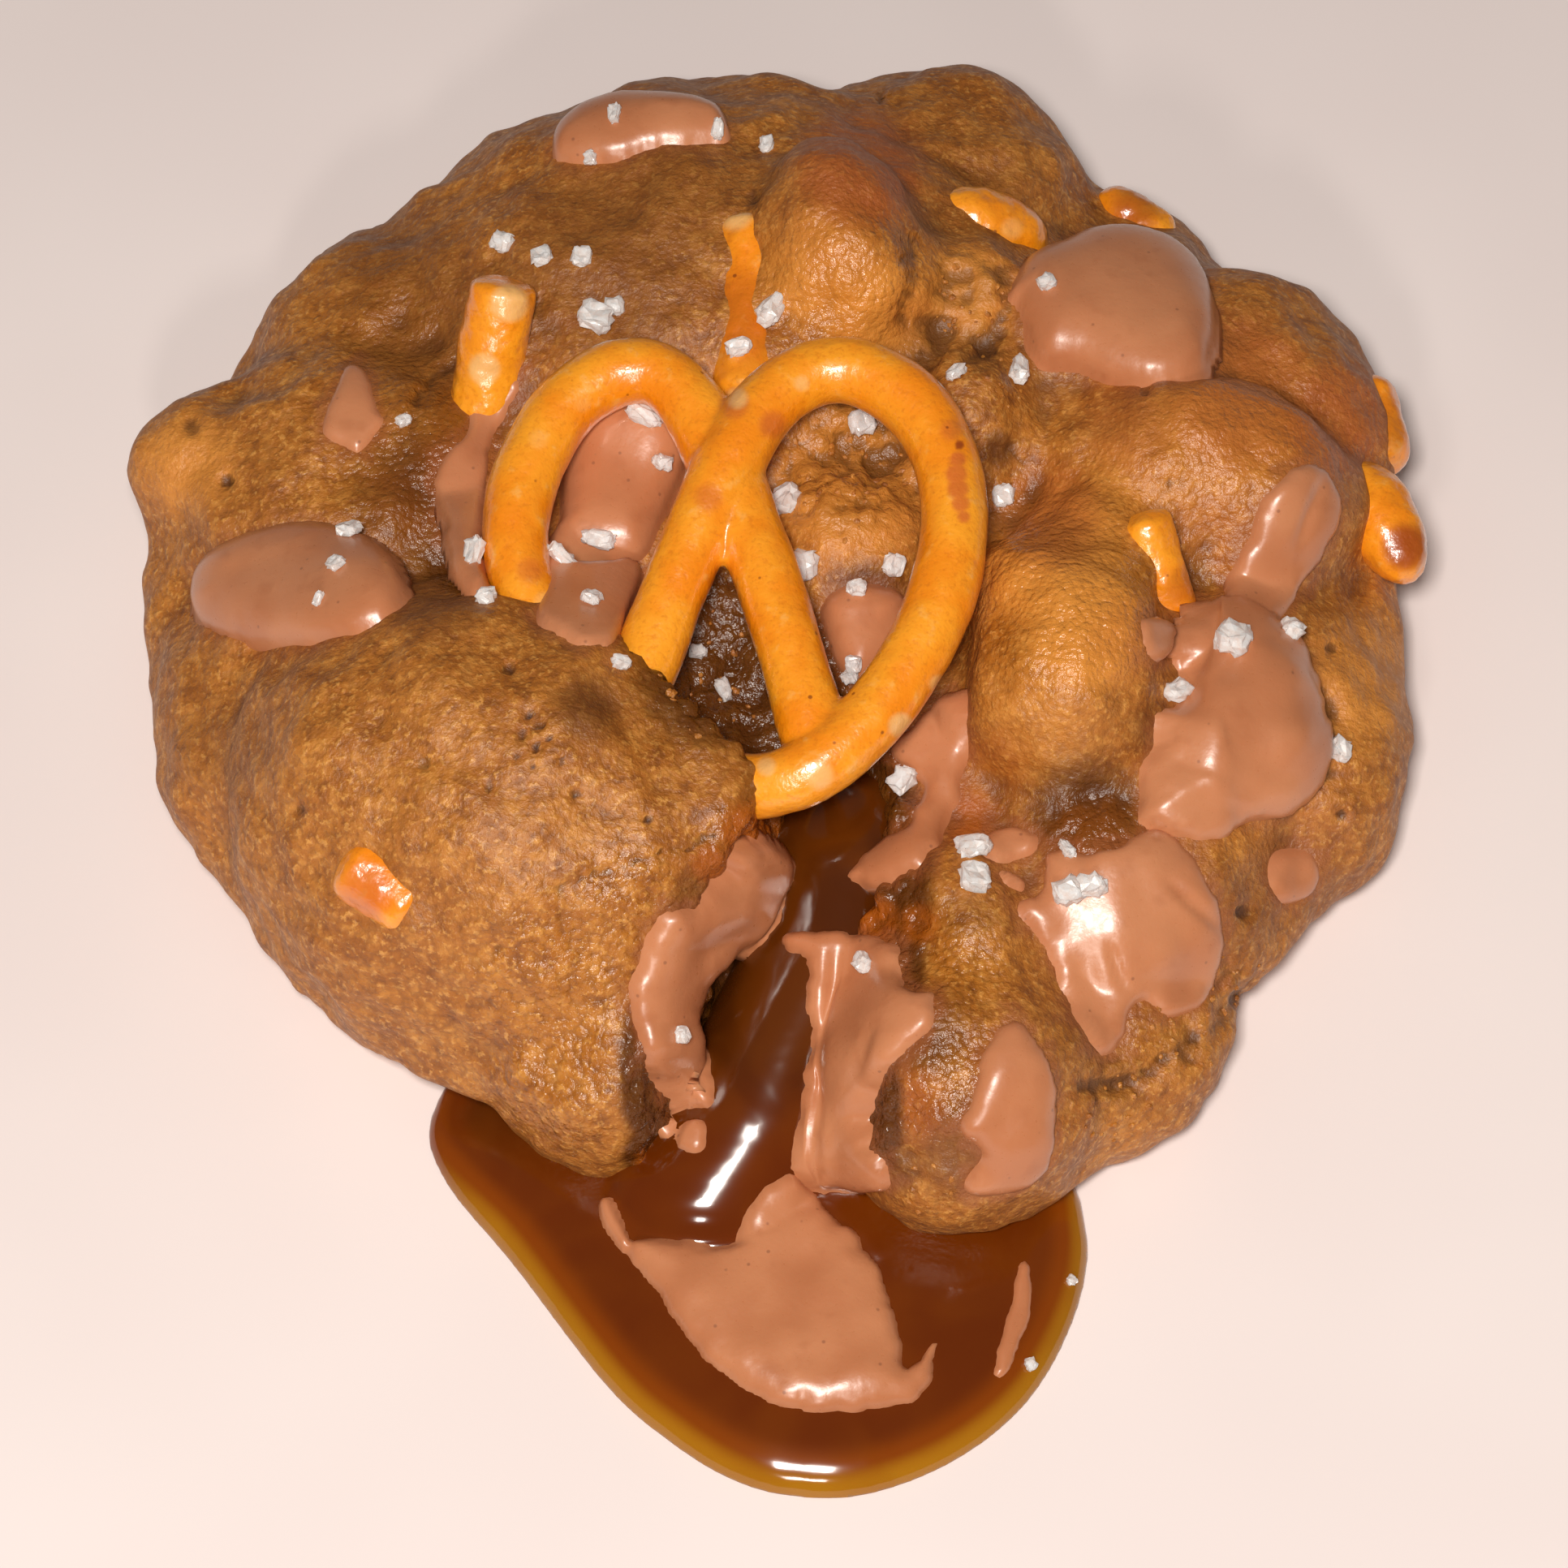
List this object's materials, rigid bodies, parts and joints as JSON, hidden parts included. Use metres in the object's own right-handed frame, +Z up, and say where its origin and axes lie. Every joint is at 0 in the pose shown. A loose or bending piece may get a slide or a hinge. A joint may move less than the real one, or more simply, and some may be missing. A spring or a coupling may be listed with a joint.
{
  "type": "caramel pretzel cookie",
  "caption": "Thick round cookie torn open at the front, caramel running out into a pool, with a twisted mini pretzel, chocolate chips, pretzel pieces and salt on top.",
  "frame": {"origin": "middle of the cookie's flat underside, on the surface that it lies on", "axes": "+Z up, +X to the right as seen from the torn side, the tear and the caramel pool at -Y"},
  "size_m": [0.0893, 0.1085, 0.0274],
  "materials": {
    "dough": "golden brown baked dough, rough and slightly greasy",
    "chocolate": "soft milk chocolate, satin",
    "pretzel": "glossy orange-brown baked crust",
    "caramel": "wet, clear amber caramel"
  },
  "bodies": {
    "root": {"caramel": "caramel", "chocolate_chip_left": "chocolate", "chocolate_chip_right": "chocolate", "chocolate_chip_right_loop": "chocolate", "chocolate_disc_back": "chocolate", "chocolate_disc_left": "chocolate", "chocolate_disc_left_loop": "chocolate", "chocolate_disc_right": "chocolate", "chocolate_front_lobe": "chocolate", "chocolate_pool": "chocolate", "chocolate_smear_apron": "chocolate", "chocolate_smear_apron_top": "chocolate", "chocolate_smear_left_loop": "chocolate", "chocolate_smear_right": "chocolate", "chocolate_smear_stub": "chocolate", "chocolate_smear_under_tip": "chocolate", "chocolate_streak_pool": "chocolate", "chocolate_tear_left": "chocolate", "chocolate_tear_right": "chocolate", "dough": "dough", "pretzel_bit_back_rim": "pretzel", "pretzel_bit_behind_crown": "pretzel", "pretzel_bit_left_lobe": "pretzel", "pretzel_bit_oval": "pretzel", "pretzel_bit_right_end": "pretzel", "pretzel_bit_right_rim": "pretzel", "pretzel_bit_stub": "pretzel", "pretzel_bit_valley": "pretzel", "pretzel_twist": "pretzel"}
  },
  "joints": []
}
